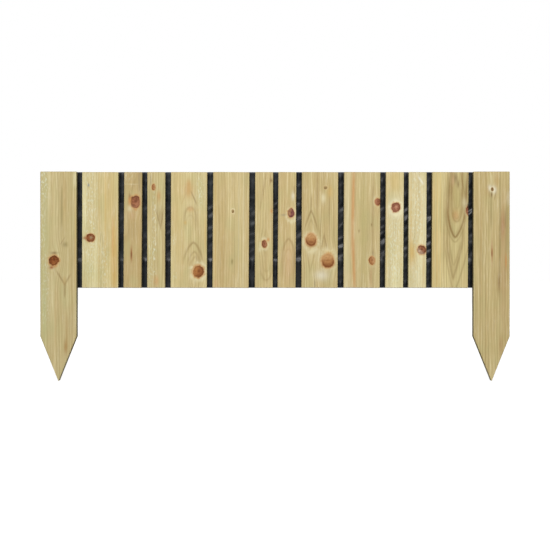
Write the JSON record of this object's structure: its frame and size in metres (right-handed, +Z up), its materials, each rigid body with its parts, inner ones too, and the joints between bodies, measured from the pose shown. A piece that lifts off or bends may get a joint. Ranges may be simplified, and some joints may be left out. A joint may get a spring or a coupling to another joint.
{
  "type": "garden edging fence panel",
  "caption": "Low timber edging panel: wide and narrow upright boards nailed to back rails over a black membrane, with pointed end posts that push into the ground.",
  "frame": {"origin": "on the outer edge of the left post, at mid-thickness of the boards, level with the feet of the slats, which is the ground line", "axes": "+X along the panel towards the right post, +Y to the back where the rails are, +Z up"},
  "size_m": [0.9, 0.033, 0.401],
  "materials": {
    "board_timber": "planed, pressure-treated softwood, pale yellow-green with red-brown knots",
    "rail_timber": "planed, pressure-treated softwood",
    "membrane": "black woven ground sheet with a low sheen"
  },
  "bodies": {
    "root": {"left_post": "board_timber", "right_post": "board_timber", "slat_01_wide": "board_timber", "slat_02_narrow": "board_timber", "slat_03_narrow": "board_timber", "slat_04_wide": "board_timber", "slat_05_wide": "board_timber", "slat_06_narrow": "board_timber", "slat_07_narrow": "board_timber", "slat_08_wide": "board_timber", "slat_09_wide": "board_timber", "slat_10_narrow": "board_timber", "slat_11_narrow": "board_timber", "slat_12_wide": "board_timber", "lower_rail": "rail_timber", "upper_rail": "rail_timber", "soil_membrane": "membrane"}
  },
  "joints": []
}
